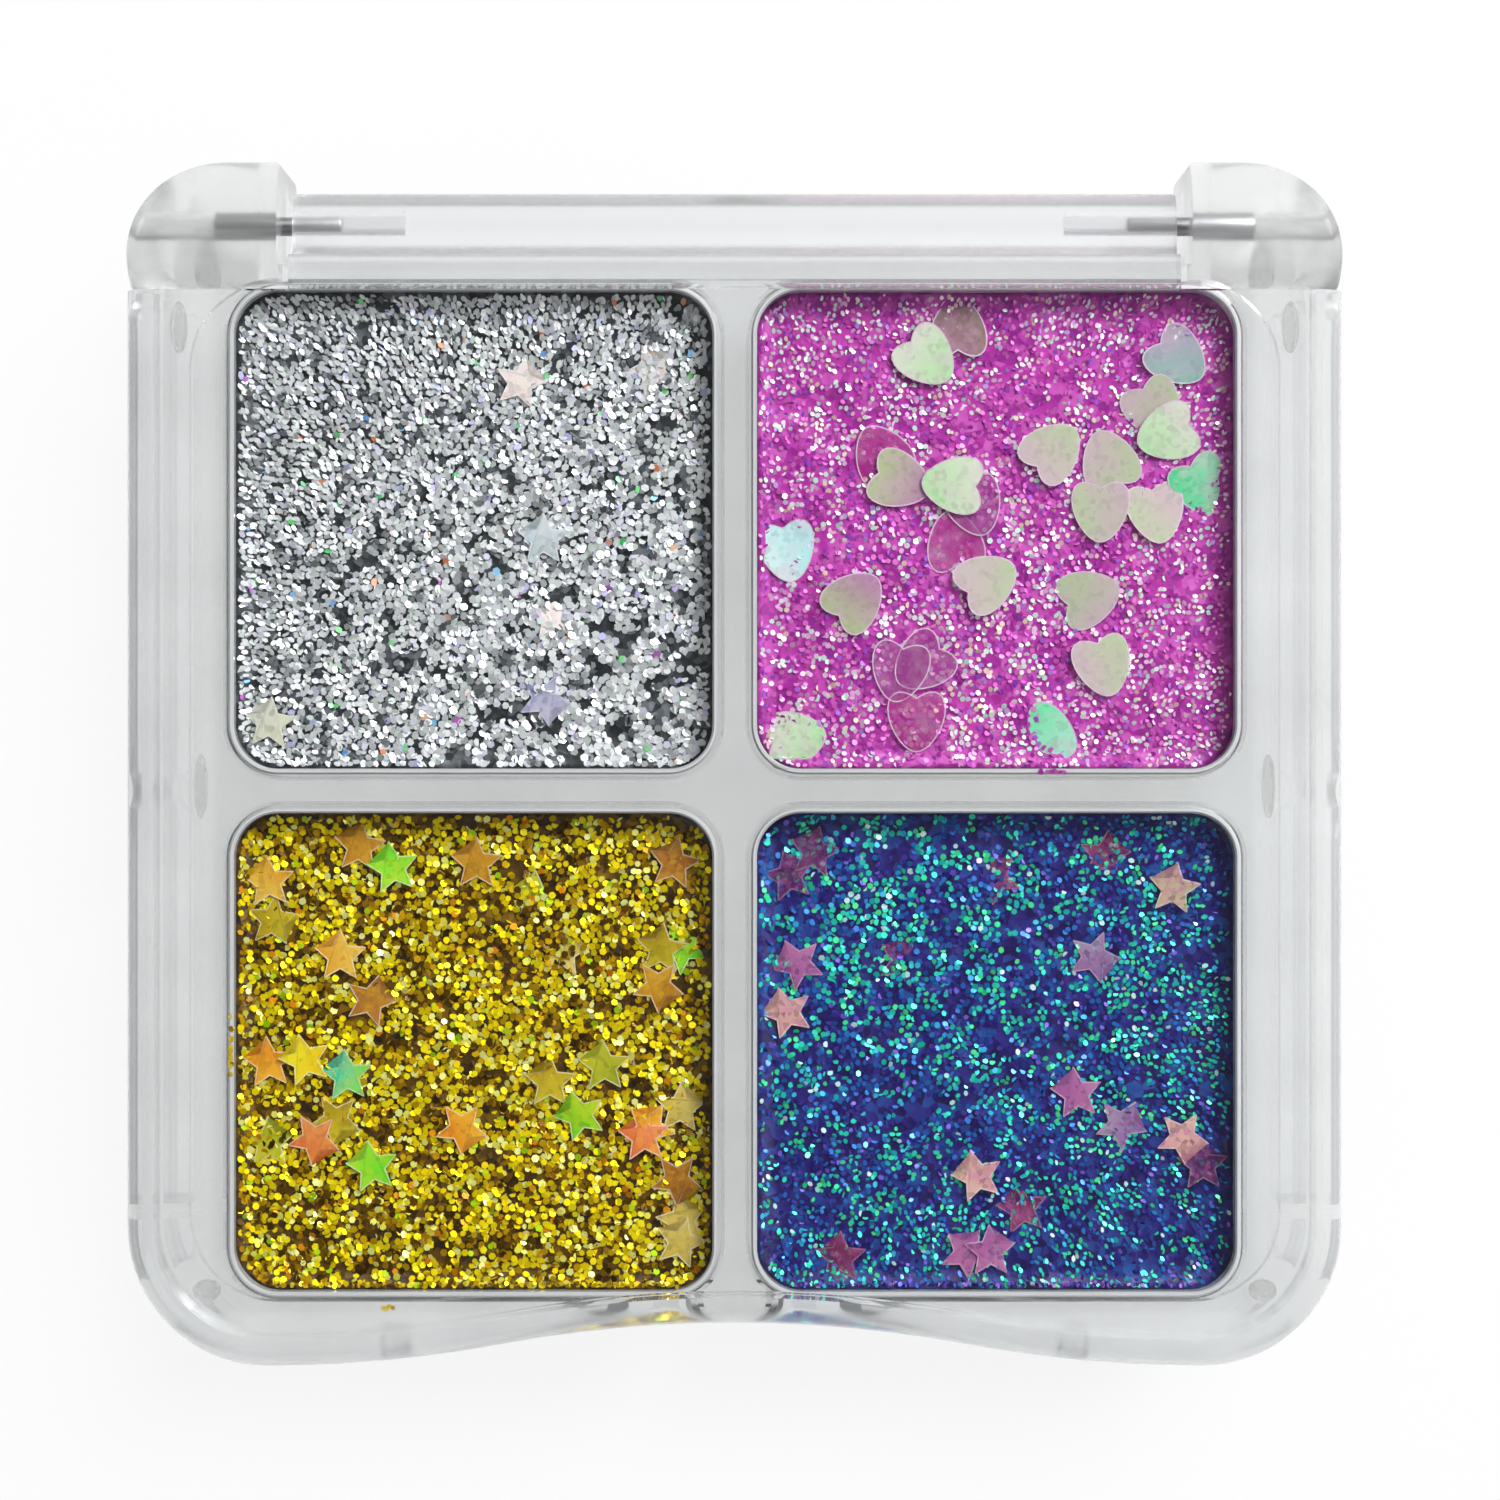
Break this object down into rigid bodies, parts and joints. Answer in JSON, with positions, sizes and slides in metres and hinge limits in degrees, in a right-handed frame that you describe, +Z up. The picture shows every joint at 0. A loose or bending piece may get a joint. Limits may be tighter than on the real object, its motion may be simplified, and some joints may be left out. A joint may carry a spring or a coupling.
{
  "type": "eyeshadow palette",
  "caption": "Clear hinged square palette with a wavy front edge and square pans of glitter gel set with star and heart sequins.",
  "frame": {"origin": "middle of the underside, on the surface the closed palette lies on", "axes": "+X to the right seen from above, +Y towards the hinge, +Z up through the lid"},
  "size_m": [0.065, 0.0646, 0.012],
  "materials": {
    "clear_plastic": "polished clear moulding",
    "clear_pan": "polished clear moulding",
    "pin_steel": "drawn wire",
    "silver_glitter": "set gel full of glitter",
    "pink_glitter": "set gel full of glitter",
    "gold_glitter": "set gel full of glitter",
    "blue_glitter": "set gel full of glitter",
    "silver_foil": "metallised film",
    "pearl_foil": "iridescent film",
    "gold_foil": "holographic film",
    "rose_foil": "iridescent film",
    "white_tape": "double-sided sticker"
  },
  "bodies": {
    "base": {"case_base": "clear_plastic", "hinge_pin_left": "pin_steel", "hinge_pin_right": "pin_steel", "silver_pan": "clear_pan", "pink_pan": "clear_pan", "gold_pan": "clear_pan", "blue_pan": "clear_pan", "silver_gel": "silver_glitter", "pink_gel": "pink_glitter", "gold_gel": "gold_glitter", "blue_gel": "blue_glitter", "silver_stars": "silver_foil", "pink_hearts": "pearl_foil", "gold_stars": "gold_foil", "blue_stars": "rose_foil", "silver_tape": "white_tape", "pink_tape": "white_tape", "gold_tape": "white_tape", "blue_tape": "white_tape"},
    "lid": {"case_lid": "clear_plastic"}
  },
  "joints": [
    {"name": "lid_hinge", "type": "hinge", "parent": "base", "child": "lid", "pos_m": [0, 0.0289, 0.008], "axis": [-1, 0, 0], "range_deg": [0, 180]}
  ]
}
